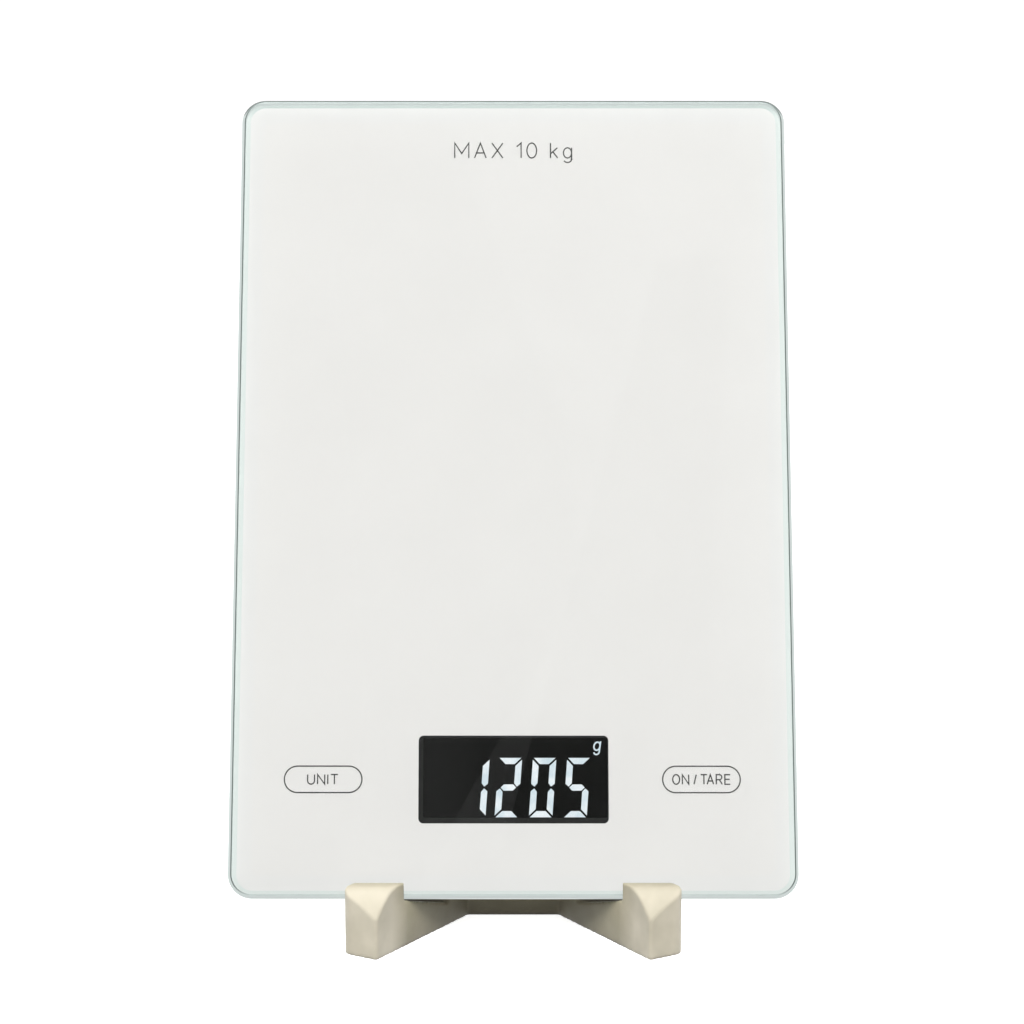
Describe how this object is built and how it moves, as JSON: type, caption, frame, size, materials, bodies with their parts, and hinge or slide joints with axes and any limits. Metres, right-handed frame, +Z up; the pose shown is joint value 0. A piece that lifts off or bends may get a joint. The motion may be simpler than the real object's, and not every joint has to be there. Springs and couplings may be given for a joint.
{
  "type": "kitchen scale",
  "caption": "Slim digital kitchen scale with a glass platform and touch keys, leaning in a small moulded display stand.",
  "frame": {"origin": "floor under the middle of the whole, in the plane the stand rests on", "axes": "+Z up, +X to the right of the person who reads the display, +Y away from that person; the scale leans back 20 degrees towards +Y"},
  "size_m": [0.16, 0.1046, 0.233],
  "materials": {
    "clear_glass": "polished float glass, slightly green at the edges",
    "white_print": "white ink printed on the back of the glass",
    "foam_tape": "double-sided foam tape",
    "white_plastic": "white ABS, finely textured",
    "display_glass": "dark liquid crystal panel with white lit segments",
    "light_guide": "white light guide",
    "circuit_board": "green solder mask",
    "black_resin": "moulded chip case",
    "silicone": "soft white",
    "steel": "zinc-plated screws",
    "spring_metal": "spring wire and contact strip",
    "aluminium": "milled",
    "foot_rubber": "soft grey pads",
    "battery_sleeve": "plain cell sleeve",
    "wire_sleeve": "flexible lead sleeves",
    "stand_plastic": "satin, clay coloured"
  },
  "bodies": {
    "stand": {"stand": "stand_plastic"},
    "scale_base": {"base_cover": "white_plastic", "foot_1": "foot_rubber", "foot_2": "foot_rubber", "foot_3": "foot_rubber", "foot_4": "foot_rubber", "bottom_spacer": "aluminium", "load_cell": "aluminium", "gauge_seal": "silicone", "base_screw_1": "steel", "base_screw_2": "steel", "battery_1": "battery_sleeve", "battery_2": "battery_sleeve", "minus_coil_1": "spring_metal", "minus_coil_2": "spring_metal", "plus_contact_1": "spring_metal", "plus_contact_2": "spring_metal", "load_cell_lead": "wire_sleeve", "battery_lead": "wire_sleeve"},
    "platform": {"glass_plate": "clear_glass", "printed_mask": "white_print", "mounting_tape": "foam_tape", "upper_housing": "white_plastic", "lcd_panel": "display_glass", "backlight": "light_guide", "circuit_board": "circuit_board", "mcu_chip": "black_resin", "board_plug": "silicone", "board_screw_1": "steel", "board_screw_2": "steel", "board_screw_3": "steel", "board_screw_4": "steel", "touch_spring_unit": "spring_metal", "touch_spring_tare": "spring_metal", "top_spacer": "aluminium", "platform_screw_1": "steel", "platform_screw_2": "steel"},
    "battery_door": {"battery_door": "white_plastic"}
  },
  "joints": [
    {"name": "scale_lift_off", "type": "slide", "parent": "stand", "child": "scale_base", "axis": [0, 0.342, 0.9397], "range_m": [0, 0.11]},
    {"name": "platform_press", "type": "slide", "parent": "scale_base", "child": "platform", "axis": [0, -0.9397, 0.342], "range_m": [-0.0005, 0], "stiffness_N_per_m": 20000, "springref_m": 0.0002, "deforming": ["load_cell"]},
    {"name": "battery_door_hinge", "type": "hinge", "parent": "scale_base", "child": "battery_door", "pos_m": [0, 0.04002, 0.18249], "axis": [1, 0, 0], "range_deg": [0, 60]}
  ]
}
